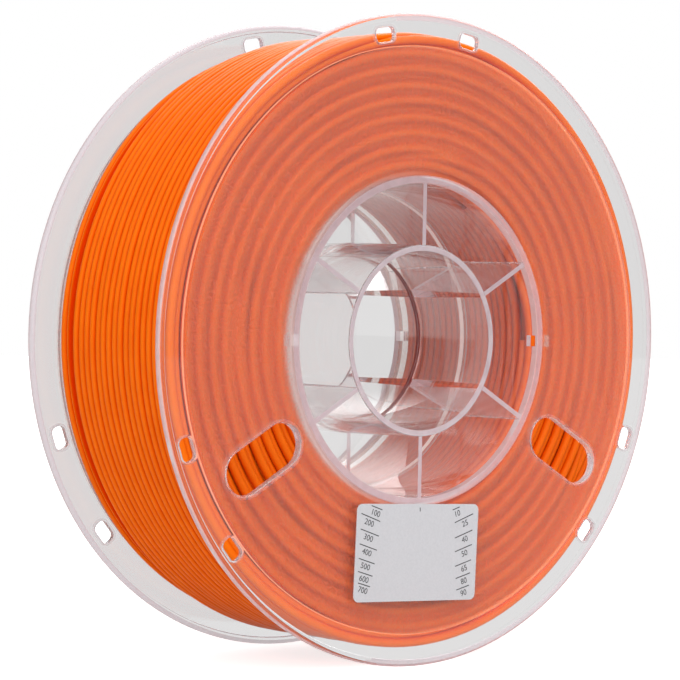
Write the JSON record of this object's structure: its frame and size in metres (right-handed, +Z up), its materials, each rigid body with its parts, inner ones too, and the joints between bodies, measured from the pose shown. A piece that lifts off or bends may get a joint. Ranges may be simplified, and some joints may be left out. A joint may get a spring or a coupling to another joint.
{
  "type": "filament spool",
  "caption": "Spool of filament: two clear moulded halves with a ribbed hub, windows and rim slots, filament wound on the drum, and a level-gauge label.",
  "frame": {"origin": "middle of the bore, halfway between the two flange faces", "axes": "+Y along the bore's axis, away from the labelled front; +Z up with the spool standing on its rims; +X to the right seen from the front"},
  "size_m": [0.2, 0.068, 0.2],
  "materials": {
    "clear_plastic": "clear moulded plastic, frosted on the webs and polished at the rims and hub",
    "filament": "extruded plastic filament, satin",
    "label_paper": "white paper label, satin, printed in black"
  },
  "bodies": {
    "root": {"front_half": "clear_plastic", "rear_half": "clear_plastic", "filament_inner_layers": "filament", "filament_outer_layer": "filament", "label": "label_paper"}
  },
  "joints": []
}
